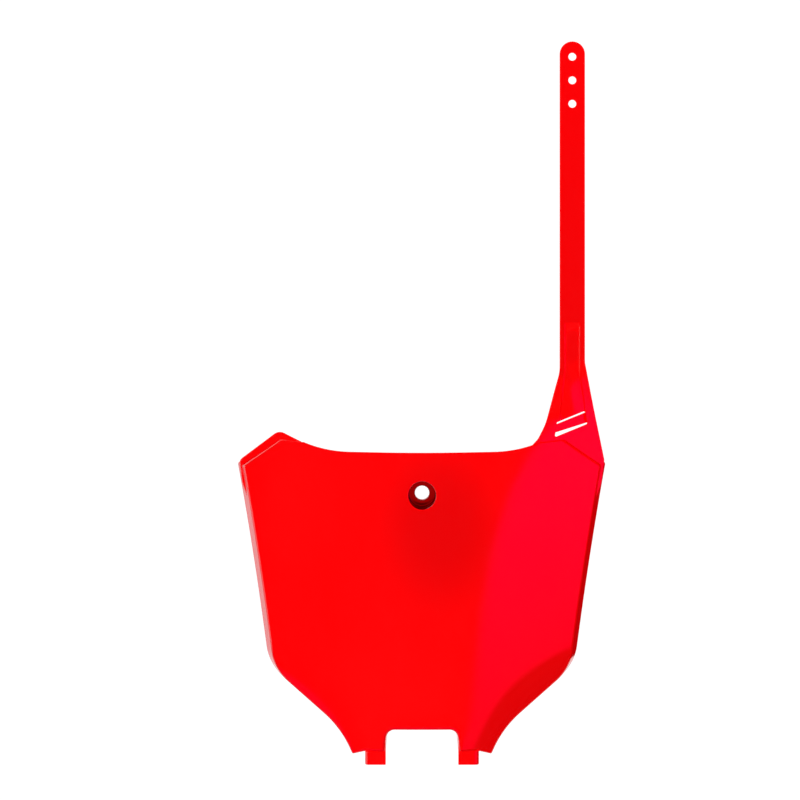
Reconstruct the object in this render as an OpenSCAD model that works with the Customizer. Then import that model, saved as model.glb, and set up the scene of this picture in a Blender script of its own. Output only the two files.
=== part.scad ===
// Front number board of an off-road motorbike, moulded in one piece with its strap.
// X runs across the board, Y runs back through it and Z runs up it.
// The origin is the centre of the bolt hole, where the bolt's collar seats.

/* [Board outline] */
// Width across the two upper corners
board_w = 232; // [216:0.2:242]
// Height of the upper corners above the bolt hole
corner_h = 20; // [16:0.5:24]
// Distance between the two upper peaks
peak_w = 180.6; // [174:0.2:186]
// Height of the peaks above the bolt hole
peak_h = 39; // [37:0.2:43]
// Width of the low stretch of the top edge between the peaks
saddle_w = 124.4; // [114:0.2:128]
// Height of the ends of that low stretch
saddle_h = 26; // [25:0.1:28]
// Height of the top edge at its middle
middle_h = 24.9; // [24:0.1:26.5]
// Width across the lower shoulders
shoulder_w = 190.8; // [180:0.2:198]
// Drop from the bolt hole to the lower shoulders
shoulder_drop = 111.2; // [104:0.2:116]
// Width where the flanks turn down into the ears
hip_w = 102.4; // [96:0.2:106]
// Drop from the bolt hole to that turn
hip_drop = 148; // [145:0.5:151]
// Width across the lower ends of the ears
ear_w = 86.4; // [82:0.2:91]
// Drop from the bolt hole to the lower ends of the ears
ear_drop = 163.8; // [160:0.2:170]
// Width of the notch between the ears
notch_w = 44.2; // [40:0.2:46]
// Drop from the bolt hole to the top of the notch
notch_drop = 148; // [144:0.5:152]

/* [Moulded shell] */
// Thickness of the moulded skin
wall = 2.2; // [1.6:0.1:3]
// Depth of the rim behind the face
rim_depth = 10; // [8:0.5:14]
// Radius of the face's bow from side to side
bow_r = 255; // [230:5:320]
// Radius of the face's bow from top to bottom
crown_r = 800; // [600:20:1200]
// How far the corner flange lies behind the raised field
flange_step = 3; // [2.4:0.1:4]
// Radius of the roll along the lower flanks
roll_r = 60; // [45:1:80]
// Width of the rolled band along the lower flanks
roll_w = 19; // [12:1:22]

/* [Bolt seat] */
// Bolt hole, for the collar of an M6 bolt
bolt_hole_d = 9; // [6.5:0.1:10]
// Diameter of the sunk seat round the bolt hole
seat_d = 17; // [15:0.5:20]
// Depth of the seat below the face
seat_depth = 9; // [6:0.5:12]
// Thickness of the seat's floor
seat_floor = 3; // [2:0.2:4]
// Angle by which the bolt points down from the face's normal
seat_tilt = 9; // [0:1:12]
// Thickness of the wall round the seat
seat_wall = 2.4; // [1.8:0.2:3.4]

/* [Strap] */
// Width of the strap
strap_w = 16; // [14:0.5:18]
// Thickness of the strap
strap_t = 2.2; // [1.8:0.1:3]
// Distance from the board's upper corner in to the middle of the strap
strap_inset = 20.7; // [19.2:0.1:22.8]
// Height of the strap's end above the bolt hole
strap_h = 285.2; // [220:0.2:320]
// Diameter of the holes in the strap
strap_hole_d = 5; // [4:0.1:6]
// Distance between the holes in the strap
strap_hole_pitch = 14.9; // [12:0.1:20]
// Number of holes in the strap
strap_holes = 3; // [1:1:5]
// Distance from the strap's end to its first hole
strap_hole_end = 9.7; // [8:0.1:12]

/* [Buckle] */
// Thickness of the strap's root round the buckle
root_t = 3; // [2.8:0.1:4]
// Depth of the groove that leads to the buckle
groove_depth = 1; // [0.6:0.1:1.4]
// Width of each rail beside the groove
groove_rail = 3.3; // [2.5:0.1:4.5]
// Height of the groove's upper end above the bolt hole
groove_h = 107; // [100:1:120]
// Height of the buckle's middle above the bolt hole
buckle_h = 43.2; // [42.4:0.2:45]
// Width of the buckle's window
window_w = 19.6; // [18:0.1:20.4]
// Height of the buckle's window
window_h = 8.8; // [8:0.1:9.6]
// Slope of the buckle's window
buckle_slope = 21.5; // [18:0.5:23]
// Gap above the bar
upper_gap = 1; // [0.8:0.1:1.4]
// Gap below the bar at its inner end
lower_gap = 2.7; // [2:0.1:3]
// How far the bar lies behind the strap's root
bar_back = 1.4; // [0.8:0.1:2]
// Thickness of the bar
bar_t = 2.6; // [2:0.1:3]

/* [Tongues] */
// Distance between the two tongues
tongue_gap = 45.4; // [42:0.2:48]
// Width of each tongue
tongue_w = 13; // [10:0.2:14]
// Thickness of each tongue
tongue_t = 4.5; // [3.5:0.1:5.5]
// Drop from the bolt hole to the tips of the tongues
tongue_drop = 170.4; // [168:0.2:178]
// How far the tongues' faces lie behind the ears' face
tongue_back = 2.2; // [1.5:0.1:3]
// Radius of each tongue's outer front edge
tongue_r = 3; // [1:0.2:3.4]

/* [Hidden] */

red = "#d80010";
turn_steps = 360;
round_steps = 72;

// Degrees that one step of an outline's corner turns through, for a radius of 1
arc_degrees = 32;

// How far the cutting shapes reach in front of the board, behind it, below it and above it
front_y = -40;
back_y = 60;
loft_front = -seat_depth - 4;
loft_back = 40;
slab_low = -tongue_drop - 20;
slab_high = peak_h + 10;

// Corners of the raised field below a peak and below an upper corner
field_peak = [peak_w / 2 - 1.9, peak_h - 5.8];
field_corner = [board_w / 2 - 3, corner_h - 3.5];
field_shoulder = [shoulder_w / 2 - 2.4, -shoulder_drop];
field_hip = [hip_w / 2 - 0.6, 0.6 - hip_drop];
top_bend_r = 80;
top_bend_share = 0.55;
middle_bend_r = 1500;
peak_r = 6;
corner_r = 4;
field_r = 2.5;
shoulder_r = 32;
hip_r = 66;
ear_r = 1;
notch_r = 5.5;
ear_step = [ear_w / 2 - 6.9, 1.8 - ear_drop];
notch_mouth = [notch_w / 2 + 1.5, 2 - ear_drop];

// Draft of the walls, in millimetres outward for each millimetre of depth
side_draft = 0.3;
corner_draft = 0.3;
flank_draft = 0.1;
notch_draft = 0.09;

// The upper walls, with a draft over this, stop leaning in this far in front of where they meet the face
steep_draft = 0.2;
steep_front = 5;

// Height at which the face stands furthest forward
crown_z = -55;

// How far the lower flange's ends jog in, and how far they run on behind the field
flange_t = 2.4;
flange_jog = [2, 14];
flange_tail = [5.6, 24];

// Gussets round the seat, and the top of the blocks behind the ears
gusset_t = 1.6;
gusset_reach = 20;
gusset_lap = 1;
block_top = -notch_drop - 3;

function crown_fall(z) = crown_r - sqrt(pow(crown_r, 2) - pow(z - crown_z, 2));
bow_axis_y = bow_r - crown_fall(0) - seat_depth;
function bow_radius(z, inset) = bow_r - crown_r + sqrt(pow(crown_r - inset, 2) - pow(z - crown_z, 2));
function face_y(x, z, inset = 0) = bow_axis_y - sqrt(pow(bow_radius(z, inset), 2) - x * x);
tongue_y = face_y(tongue_gap / 2 + tongue_w / 2, -ear_drop) + tongue_back;

// Outline tools. A corner is [x, z, radius, draft of the edge that follows it].
function unit(v) = v / norm(v);
function flat(p) = [p[0], p[1]];
function outward(a, b) = let (e = unit(flat(b) - flat(a))) [e[1], -e[0]];
function turned(a) = a > 180 ? a - 360 : a < -180 ? a + 360 : a;

function corner_arc(a, b, c) =
    let (
        u = unit(flat(a) - flat(b)),
        v = unit(flat(c) - flat(b)),
        half = acos(u * v) / 2,
        r = b[2],
        middle = flat(b) + unit(u + v) * r / sin(half),
        start = flat(b) + u * r / tan(half) - middle,
        end = flat(b) + v * r / tan(half) - middle,
        from = atan2(start[1], start[0]),
        sweep = turned(atan2(end[1], end[0]) - from),
        steps = max(1, ceil(abs(sweep) * pow(r, 0.4) / arc_degrees))
    )
    [for (i = [0 : steps]) middle + r * [cos(from + sweep * i / steps), sin(from + sweep * i / steps)]];

function rounded(corners) =
    let (n = len(corners))
    [for (i = [0 : n - 1]) each corner_arc(corners[(i + n - 1) % n], corners[i], corners[(i + 1) % n])];

// Where a corner goes when the edges before and after it move out by d0 and d1
function shifted(a, b, c, d0, d1) =
    let (n0 = outward(a, b), n1 = outward(b, c), k = n0 * n1)
    flat(b) + (d0 * (n0 - k * n1) + d1 * (n1 - k * n0)) / (1 - k * k);

// Each edge is given where it meets the face; leaned back at its draft to the plane y = 0
function leaned(a, b) =
    let (n = outward(a, b))
    [flat(a) - n * a[3] * face_y(a[0], a[1]), flat(b) - n * a[3] * face_y(b[0], b[1])];
function meeting(g, h) = g[0] + (g[1] - g[0]) * cross(h[0] - g[0], h[1] - h[0]) / cross(g[1] - g[0], h[1] - h[0]);
function drafted(corners) =
    let (n = len(corners))
    [for (i = [0 : n - 1])
        let (
            b = corners[i],
            p = meeting(leaned(corners[(i + n - 1) % n], b), leaned(b, corners[(i + 1) % n]))
        )
        [p[0], p[1], b[2], b[3]]];

// How far a wall with a draft has moved out at depth y
function lean(draft, y) = draft * (draft > steep_draft ? max(y, steep_front) : y);

// The outline at depth y, with its walls drafted and moved in by inset
function outline_at(corners, y, inset) =
    let (n = len(corners))
    [for (i = [0 : n - 1])
        let (
            a = corners[(i + n - 1) % n],
            b = corners[i],
            c = corners[(i + 1) % n],
            p = shifted(a, b, c, lean(a[3], y) - inset, lean(b[3], y) - inset),
            bulge = outward(a, b) * [-outward(b, c)[1], outward(b, c)[0]] > 0 ? -1 : 1
        )
        [p[0], p[1], max(0.3, b[2] - bulge * inset)]];

function mirrored(half) =
    let (n = len(half) - 1)
    concat(
        [for (i = [0 : n]) [-half[i][0], half[i][1], half[i][2], half[i][3]]],
        [for (i = [n : -1 : 1]) [half[i][0], half[i][1], half[i][2], half[i - 1][3]]]
    );

// The top edge bends up towards the peaks, and the raised field leaves that bend before its end
saddle = [saddle_w / 2, saddle_h];
saddle_dir = unit(saddle - [0, middle_h]);
peak_dir = unit([peak_w / 2, peak_h] - saddle);
bend_turn = acos(saddle_dir * peak_dir);
// The bend takes no more than its share of the stretch up to the peak
peak_run = norm([peak_w / 2, peak_h] - saddle);
bend_r = min(top_bend_r, top_bend_share * peak_run / tan(bend_turn / 2));
field_turn = bend_turn - 3.5;
bend_start = saddle - saddle_dir * bend_r * tan(bend_turn / 2);
bend_reach = bend_r * tan(field_turn / 2);
field_saddle = bend_start + saddle_dir * bend_reach;
field_leave = field_saddle + (bend_reach + 1.2) * [
    saddle_dir[0] * cos(field_turn) - saddle_dir[1] * sin(field_turn),
    saddle_dir[0] * sin(field_turn) + saddle_dir[1] * cos(field_turn)
];

// Raised field and its walls, down the right half from the middle of the top edge
field_half = [
    [0, middle_h, middle_bend_r, 0],
    [field_saddle[0], field_saddle[1], bend_r, 0],
    [field_leave[0], field_leave[1], 1, 0],
    [field_peak[0], field_peak[1], field_r, corner_draft],
    [field_corner[0], field_corner[1], field_r, side_draft],
    [field_shoulder[0], field_shoulder[1], shoulder_r, flank_draft],
    [field_hip[0], field_hip[1], hip_r, flank_draft],
    [ear_w / 2, -ear_drop, ear_r, 0],
    [ear_step[0], ear_step[1], ear_r, 0],
    [notch_mouth[0], notch_mouth[1], ear_r, notch_draft],
    [notch_w / 2, -notch_drop, notch_r, 0],
];
field = drafted(mirrored(field_half));

// Lower flange that shows at the left upper corner
flange = [
    [-saddle[0], saddle[1], 0.5, 0],
    [-peak_w / 2, peak_h, peak_r, 0],
    [-board_w / 2, corner_h, corner_r, 0],
    [flange_jog[0] - board_w / 2, corner_h - flange_jog[1], 1, 0],
    [flange_tail[0] - board_w / 2, corner_h - flange_tail[1], 1, 0],
    [-saddle_w / 2, 0, 1, 0],
];

// Outline of the strap's root, counterclockwise from its lower end behind the raised field
strap_x = board_w / 2 - strap_inset;
strap_left = strap_x - strap_w / 2;
strap_right = strap_x + strap_w / 2;
root_top = groove_h + 8;
root_flare = 9.5;
root_neck = 84;
strap_lap = 3;
root_outline = [
    [saddle[0] + 3.8, saddle_h - 2.2, 1, 0],
    [board_w / 2 - 14.3, corner_h - 12, 1, 0],
    [board_w / 2 - flange_tail[0], corner_h - flange_tail[1], 1, 0],
    [board_w / 2 - flange_jog[0], corner_h - flange_jog[1], 3, 0],
    [board_w / 2, corner_h, corner_r, 0],
    [strap_right, root_neck - 2, 12, 0],
    [strap_right, root_top, 0.5, 0],
    [strap_left, root_top, 0.5, 0],
    [strap_left, root_neck - 8, 24, 0],
    [strap_left - root_flare, buckle_h - 0.4, 40, 0],
    [saddle[0] + 8.6, saddle_h + 4.4, 2, 0],
];

// Heights between which the root flattens, and between which it thins to the strap
strap_y = face_y(strap_x, 58) + flange_step;
twist_low = 46;
twist_high = root_neck;
thin_low = root_neck + 4;
thin_high = groove_h + 4;
groove_end = 5;
root_x = [saddle[0] + 3, board_w / 2 + 3];
twist_levels = [for (z = [twist_low + 2 : 6 : twist_high]) z];
root_levels = concat([for (z = [-10 : 10 : 40]) z], twist_levels, [thin_low, thin_high, root_top + 1]);
groove_levels = concat([twist_low - 8], twist_levels, [groove_h - groove_end, thin_high]);

function eased(t) = t <= 0 ? 0 : t >= 1 ? 1 : t * t * (3 - 2 * t);
function mixed(a, b, t) = a + (b - a) * t;
function root_y(x, z) = mixed(face_y(x, z) + flange_step, strap_y, eased((z - twist_low) / (twist_high - twist_low)));
function root_thick(z) = mixed(root_t, strap_t, eased((z - thin_low) / (thin_high - thin_low)));
function groove_at(z) = groove_depth * min(1, (groove_h - z) / groove_end);

// Groove beside its rails, widening down to the buckle
groove_left = strap_left + groove_rail;
groove_right = strap_right - groove_rail;
groove_outline = [
    [groove_right + 3.8, buckle_h + 3, 0.5, 0],
    [groove_right + 3, buckle_h + 14, 8, 0],
    [groove_right, buckle_h + 34, 20, 0],
    [groove_right, groove_h + 3, 0.5, 0],
    [groove_left, groove_h + 3, 0.5, 0],
    [groove_left, buckle_h + 34, 20, 0],
    [groove_left - 4.2, buckle_h, 0.5, 0],
];

// Window of the buckle, and the bar across it
window_x = strap_x - 1;
window_lean = 0.75;
bar_flare = 4.5;
function window_z(x, h) = buckle_h + h + (x - window_x) * tan(buckle_slope);
window_in = window_x - window_w / 2;
window_out = window_x + window_w / 2;
window_corners = [
    [window_in - window_lean, window_z(window_in - window_lean, -window_h / 2), 0.6, 0],
    [window_out + window_lean, window_z(window_out + window_lean, -window_h / 2), 0.6, 0],
    [window_out - window_lean, window_z(window_out - window_lean, window_h / 2), 0.6, 0],
    [window_in + window_lean, window_z(window_in + window_lean, window_h / 2), 0.6, 0],
];
bar_in = window_in - 2;
bar_out = window_out + 2;
bar_low = window_z(window_in, lower_gap - window_h / 2);
bar_fall = tan(buckle_slope - bar_flare);
bar_corners = [
    [bar_in, bar_low + (bar_in - window_in) * bar_fall],
    [bar_out, bar_low + (bar_out - window_in) * bar_fall],
    [bar_out, window_z(bar_out, window_h / 2 - upper_gap / cos(buckle_slope))],
    [bar_in, window_z(bar_in, window_h / 2 - upper_gap / cos(buckle_slope))],
];

// A solid through outlines with as many points each, at the depths given with them
module loft(levels) {
    n = len(levels[0][1]);
    last = (len(levels) - 1) * n;
    points = [for (level = levels) each [for (p = level[1]) [p[0], level[0], p[1]]]];
    sides = [for (k = [0 : n : last - n]) each [for (i = [0 : n - 1])
        let (a = k + i, b = k + (i + 1) % n)
        each [[a, b, b + n], [a, b + n, a + n]]]];
    polyhedron(points, concat([[for (i = [n - 1 : -1 : 0]) i]], [[for (i = [0 : n - 1]) last + i]], sides));
}

// A plate cut out along Y from an outline in X and Z
module cut_out(points) {
    translate([0, back_y, 0])
        rotate([90, 0, 0])
            linear_extrude(back_y - front_y)
                polygon(points);
}

// A curved slab that follows the face between two depths below it
module bowed(front, back) {
    translate([0, bow_axis_y, 0])
        rotate_extrude($fn = turn_steps)
            intersection() {
                translate([bow_r - crown_r, crown_z])
                    difference() {
                        circle(crown_r - front, $fn = turn_steps * 2);
                        circle(crown_r - back, $fn = turn_steps * 2);
                    }
                translate([bow_r / 2, slab_low])
                    square([bow_r, slab_high - slab_low]);
            }
}

// Frame of the rolled band: its middle on the face, the flank's direction and the face's normal there
flank_a = [shoulder_w / 2, -shoulder_drop];
flank_b = [hip_w / 2, -hip_drop];
flank_dir = unit(flank_a - flank_b);
flank_out = [flank_dir[1], -flank_dir[0]];
roll_mid = (flank_a + flank_b) / 2 - flank_out * roll_w;
roll_length = 3 * norm(flank_a - flank_b);
roll_lift = 0.2;
slope_step = 0.5;

function face_point(p) = [p[0], face_y(p[0], p[1]), p[1]];
roll_u = unit(face_point(roll_mid + flank_dir * slope_step) - face_point(roll_mid - flank_dir * slope_step));
roll_n = unit(cross(face_point(roll_mid + flank_out * slope_step) - face_point(roll_mid - flank_out * slope_step), roll_u));
roll_t = cross(roll_u, roll_n);
roll_sweep_r = 1 / (pow(flank_dir[0], 2) / bow_r + pow(flank_dir[1], 2) / crown_r);

// What the roll takes off the right flank, down to the given depth below the face
module roll_cut(inset) {
    o = face_point(roll_mid) + roll_n * roll_lift;
    multmatrix([
        [roll_n[0], -roll_u[0], roll_t[0], o[0]],
        [roll_n[1], -roll_u[1], roll_t[1], o[1]],
        [roll_n[2], -roll_u[2], roll_t[2], o[2]],
        [0, 0, 0, 1],
    ])
        difference() {
            translate([-0.65 * roll_r, -roll_length / 2, 0])
                cube([roll_r, roll_length, 0.95 * roll_r]);
            translate([-roll_sweep_r, 0, 0])
                rotate_extrude($fn = turn_steps)
                    translate([roll_sweep_r - roll_r, 0])
                        circle(roll_r - inset, $fn = turn_steps / 2);
        }
}

module both_rolls(inset) {
    roll_cut(inset);
    mirror([1, 0, 0])
        roll_cut(inset);
}

module field_prism(inset) {
    loft([for (y = [loft_front, steep_front, loft_back]) [y, rounded(outline_at(field, y, inset))]]);
}

// Body of the board with its drafted walls, still filled behind
module blank() {
    color(red)
        difference() {
            intersection() {
                bowed(0, rim_depth);
                field_prism(0);
            }
            both_rolls(0);
        }
}

// Space behind the skin, inside the walls
module hollow() {
    difference() {
        intersection() {
            bowed(wall, rim_depth + 4);
            field_prism(wall);
        }
        both_rolls(wall);
    }
}

// Lower flange that stands out at the upper corner away from the strap
module corner_flange() {
    color(red)
        intersection() {
            bowed(flange_step, flange_step + flange_t);
            cut_out(rounded(flange));
        }
}

// A closed sheet over the strap's root, between two depths below its face
module root_sheet(levels, grooved) {
    columns = 5;
    across = columns + 1;
    rows = len(levels) - 1;
    count = across * (rows + 1);
    function x(i) = mixed(root_x[0], root_x[1], i / columns);
    function top(x, z) = root_y(x, z) - (grooved ? 4 : 0);
    function bottom(x, z) = root_y(x, z) + (grooved ? groove_at(z) : root_thick(z));
    function at(i, j) = j * across + i;
    points = concat(
        [for (z = levels, i = [0 : columns]) [x(i), top(x(i), z), z]],
        [for (z = levels, i = [0 : columns]) [x(i), bottom(x(i), z), z]]
    );
    fronts = [for (j = [0 : rows - 1], i = [0 : columns - 1]) each [
        [at(i, j), at(i, j + 1), at(i + 1, j + 1)],
        [at(i, j), at(i + 1, j + 1), at(i + 1, j)]]];
    backs = [for (f = fronts) [count + f[2], count + f[1], count + f[0]]];
    loop = concat(
        [for (i = [0 : columns - 1]) at(i, 0)],
        [for (j = [0 : rows - 1]) at(columns, j)],
        [for (i = [columns : -1 : 1]) at(i, rows)],
        [for (j = [rows : -1 : 1]) at(0, j)]
    );
    sides = [for (k = [0 : len(loop) - 1]) let (a = loop[k], b = loop[(k + 1) % len(loop)]) each [
        [a, b, count + b],
        [a, count + b, count + a]]];
    polyhedron(points, concat(fronts, backs, sides));
}

// Root that widens from the strap to the corner of the board, curving with the face
module strap_root() {
    color(red)
        intersection() {
            root_sheet(root_levels, false);
            cut_out(rounded(root_outline));
        }
}

module groove() {
    intersection() {
        root_sheet(groove_levels, true);
        cut_out(rounded(groove_outline));
    }
}

// Flat strap with its row of holes, running a little way down into the root
module strap() {
    color(red)
        translate([strap_x, strap_y, 0])
            rotate([-90, 0, 0])
                linear_extrude(strap_t)
                    difference() {
                        union() {
                            translate([-strap_w / 2, strap_w / 2 - strap_h])
                                square([strap_w, strap_h - strap_w / 2 - root_top + strap_lap]);
                            translate([0, strap_w / 2 - strap_h])
                                circle(d = strap_w, $fn = round_steps);
                        }
                        for (i = [0 : strap_holes - 1])
                            translate([0, strap_hole_end + i * strap_hole_pitch - strap_h])
                                circle(d = strap_hole_d, $fn = round_steps);
                    }
}

// Bar across the buckle's window, behind the face of the root
module buckle_bar() {
    color(red)
        intersection() {
            bowed(flange_step + bar_back, flange_step + bar_back + bar_t);
            cut_out(bar_corners);
        }
}

// Turns Z to the bolt's axis, pointing out of the face
module on_bolt_axis() {
    rotate([90 + seat_tilt, 0, 0])
        children();
}

// What stands behind the skin: the seat's wall with its gussets, and the blocks behind the ears
module backing() {
    color(red)
        intersection() {
            union() {
                on_bolt_axis()
                    translate([0, 0, -seat_floor])
                        cylinder(h = 2 * seat_depth, d = seat_d + 2 * seat_wall, $fn = round_steps);
                for (a = [45 : 90 : 315])
                    rotate([0, a, 0])
                        gusset();
                for (side = [-1, 1])
                    scale([side, 1, 1])
                        ear_block();
            }
            bowed(wall / 2, 4 * rim_depth);
        }
}

module gusset() {
    inner = seat_d / 2 + gusset_lap;
    front = -seat_depth - gusset_lap;
    translate([0, 0, -gusset_t / 2])
        linear_extrude(gusset_t)
            polygon([[inner, gusset_lap], [inner, front], [gusset_reach, front]]);
}

// Block behind an ear that carries its tongue
module ear_block() {
    translate([tongue_gap / 2, -seat_depth, 2 * wall / 3 - ear_drop])
        cube([tongue_w, seat_depth + tongue_y + tongue_t, block_top + ear_drop - 2 * wall / 3]);
}

// Tongues below the ears, each with its outer front edge rounded
module tongues() {
    color(red)
        for (side = [-1, 1])
            scale([side, 1, 1])
                translate([tongue_gap / 2, tongue_y, -tongue_drop])
                    linear_extrude(tongue_drop - ear_drop + wall)
                        tongue_section();
}

module tongue_section() {
    square([tongue_w - tongue_r, tongue_t]);
    translate([0, tongue_r])
        square([tongue_w, tongue_t - tongue_r]);
    translate([tongue_w - tongue_r, tongue_r])
        circle(tongue_r, $fn = round_steps);
}

// The bolt's seat and its hole
module seat() {
    on_bolt_axis() {
        cylinder(h = 2 * seat_depth, d = seat_d, $fn = round_steps);
        translate([0, 0, -2 * seat_floor])
            cylinder(h = 3 * seat_floor, d = bolt_hole_d, $fn = round_steps);
    }
}

// Slot through the strap's root that the bar lies in
module window() {
    cut_out(rounded(window_corners));
}

module number_board() {
    difference() {
        union() {
            difference() {
                union() {
                    blank();
                    corner_flange();
                    strap_root();
                }
                hollow();
                groove();
                window();
            }
            strap();
            buckle_bar();
            backing();
            tongues();
        }
        seat();
    }
}

number_board();
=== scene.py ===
"""Racing number board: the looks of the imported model, laid out as an add-on.

Lengths in the shape functions are in millimetres, in the frame of the CAD model:
X across the face, Y back through it, Z up. The origin is the middle of the bolt hole.
"""

import math

import bmesh
import bpy
import numpy as np
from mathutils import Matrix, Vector
from mathutils.geometry import delaunay_2d_cdt


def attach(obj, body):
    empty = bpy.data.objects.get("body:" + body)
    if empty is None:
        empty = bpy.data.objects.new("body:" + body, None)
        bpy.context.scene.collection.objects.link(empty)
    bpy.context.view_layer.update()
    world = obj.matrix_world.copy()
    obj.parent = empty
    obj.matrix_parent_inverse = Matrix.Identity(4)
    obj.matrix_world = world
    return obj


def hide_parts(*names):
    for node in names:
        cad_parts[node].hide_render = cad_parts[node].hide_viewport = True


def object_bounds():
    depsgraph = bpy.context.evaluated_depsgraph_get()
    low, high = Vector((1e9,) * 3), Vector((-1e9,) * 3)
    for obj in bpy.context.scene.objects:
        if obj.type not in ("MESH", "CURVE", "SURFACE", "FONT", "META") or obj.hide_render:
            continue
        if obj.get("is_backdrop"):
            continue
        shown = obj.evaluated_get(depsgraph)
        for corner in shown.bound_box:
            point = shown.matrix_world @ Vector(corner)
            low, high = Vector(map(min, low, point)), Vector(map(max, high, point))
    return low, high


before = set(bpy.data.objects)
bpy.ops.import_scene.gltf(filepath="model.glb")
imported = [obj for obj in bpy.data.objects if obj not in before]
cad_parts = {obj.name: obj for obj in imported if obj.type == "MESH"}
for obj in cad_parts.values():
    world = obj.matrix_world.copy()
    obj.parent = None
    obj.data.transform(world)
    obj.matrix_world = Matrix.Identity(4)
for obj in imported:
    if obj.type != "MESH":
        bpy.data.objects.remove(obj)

bl_info = {
    "name": "Racing Number Board",
    "version": (1, 0, 0),
    "blender": (4, 5, 0),
    "location": "3D View > Sidebar > Number Board",
    "description": "Builds a glossy moulded front number board with its strap, and its studio",
    "category": "Object",
}

NODE = "number_board"
SKIN = "red_plastic_skin"
MM = 0.001


# Settings

def length(name, text, default):
    return bpy.props.FloatProperty(
        name=name, description=text, default=default, subtype="DISTANCE", unit="LENGTH", precision=4)


def share(name, text, default):
    return bpy.props.FloatProperty(
        name=name, description=text, default=default, min=0, max=1, subtype="FACTOR")


def strength(name, text, default):
    return bpy.props.FloatProperty(name=name, description=text, default=default, min=0)


class NB_PG_board(bpy.types.PropertyGroup):
    bow: length("Bow", "Radius of the face from side to side", 0.255)
    crown: length("Crown", "Radius of the face from top to bottom", 0.800)
    wall: length("Wall", "Thickness of the moulded skin", 0.0022)
    rim: length("Rim", "Depth of the rim behind the face", 0.010)
    edge: length("Edge", "Radius of the face's edge", 0.0009)
    foot_edge: length("Foot edge", "Radius of the face's edge along the ears and the notch", 0.0021)
    roll: length("Roll", "Radius of the roll along the lower flanks", 0.060)
    grid: length("Grid", "Spacing of the mesh inside the face", 0.0028)


class NB_PG_strap(bpy.types.PropertyGroup):
    middle: length("Middle", "Distance from the board's middle to the strap's", 0.0953)
    width: length("Width", "Width of the strap", 0.016)
    thickness: length("Thickness", "Thickness of the strap", 0.0022)
    height: length("Height", "Height of the strap's end above the bolt hole", 0.28516)
    hole: length("Hole", "Diameter of the strap's holes", 0.005)
    pitch: length("Pitch", "Distance between the strap's holes", 0.0149)
    first: length("First hole", "Distance from the strap's end to its first hole", 0.0097)
    groove: length("Groove", "Depth of the groove that leads to the buckle", 0.001)
    edge: length("Edge", "Radius of the strap's edges", 0.0004)


class NB_PG_finish(bpy.types.PropertyGroup):
    colour: bpy.props.FloatVectorProperty(
        name="Colour", description="Colour of the plastic", subtype="COLOR", size=3,
        default=(0.88, 0.0, 0.001), min=0, max=1)
    roughness: share("Roughness", "Roughness of the polished skin", 0.085)
    ripple: share("Ripple", "Strength of the skin's slow ripple", 0.05)
    grain: share("Grain", "Strength of the skin's fine grain", 0.04)
    # Seat: painted shade, the share of the colour kept deep inside the bolt seat, where little light reaches
    seat: share("Seat", "Brightness of the plastic deep inside the bolt seat", 0.14)


class NB_PG_studio(bpy.types.PropertyGroup):
    distance: length("Distance", "Distance from the camera to the face", 1.700)
    side: length("Side", "The camera's place across the face", -0.0138)
    height: length("Height", "The camera's place above the bolt hole", 0.0581)
    focal: strength("Focal length", "Focal length of the lens in image widths", 3.4125)
    fill: strength("Fill", "Strength of the even light from all round", 0.80)
    key: strength("Key", "Power of the lamp on the left", 7.0)
    low: strength("Low lamp", "Power of the lamp low in front", 3.0)
    high: strength("High lamp", "Power of the small lamp near the strap", 0.34)
    wall: strength("Wall", "Strength of the red wall in reflections", 5.5)
    softbox: strength("Softbox", "Strength of the tall softbox in reflections", 1.0)
    panel: strength("Panel", "Strength of the white panels on the left in reflections", 2.5)
    paper: share("Paper", "Brightness of the floor's paper under light", 0.80)
    glow: share("Glow", "Brightness of the paper by itself", 0.42)


# Outlines and meshes

ARC_TURN = 0.22  # the widest turn between two points of an outline's arc
INSET_LEVELS = 7  # outlines sampled between the least and the greatest inset
BLOCK = 3000  # points that are tested together against a loop
TINY = 1e-30
ROW_PITCH, GRID_CLEAR = 0.866, 0.55  # rows of a mesh's inner points, and how clear of its loops they stay
SHARP = math.radians(38)  # a closed piece's edges stay sharp above this angle
PROBE = 0.05  # reach of the slopes that give a surface its normals


def unit(v):
    return v / np.linalg.norm(v, axis=-1, keepdims=True)


def eased(t):
    t = np.clip(t, 0, 1)
    return t * t * (3 - 2 * t)


def quarter(steps, first=0):
    """Sine and cosine of even steps through a quarter turn."""
    turns = [math.pi / 2 * j / steps for j in range(first, steps + 1)]
    return [(math.sin(t), math.cos(t)) for t in turns]


def lift(p, y):
    """Points in space from points across the face and their depths."""
    return np.stack([p[:, 0], y, p[:, 1]], axis=1)


def outward(a, b):
    e = unit(b - a)
    return np.array([e[1], -e[0]])


def sideways(loop):
    """Directions out of a closed loop, square to its line."""
    tangent = unit(np.roll(loop, -1, axis=0) - np.roll(loop, 1, axis=0))
    return np.stack([tangent[:, 1], np.zeros(len(loop)), -tangent[:, 0]], axis=1)


def round_corner(before, corner, after, radius):
    """The arc that rounds a corner: its middle, first angle, sweep and radius."""
    u, v = unit(before - corner), unit(after - corner)
    half = math.acos(max(-1.0, min(1.0, float(u @ v)))) / 2
    mid = corner + unit(u + v) * radius / math.sin(half)
    a = corner + u * radius / math.tan(half) - mid
    b = corner + v * radius / math.tan(half) - mid
    start = math.atan2(a[1], a[0])
    sweep = math.atan2(b[1], b[0]) - start
    return mid, start, (sweep + math.pi) % (2 * math.pi) - math.pi, radius


def meeting(g, h):
    """Where two lines, each given by two points, cross."""
    u, v, w = g[1] - g[0], h[1] - h[0], h[0] - g[0]
    return g[0] + u * (w[0] * v[1] - w[1] * v[0]) / (u[0] * v[1] - u[1] * v[0])


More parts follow.
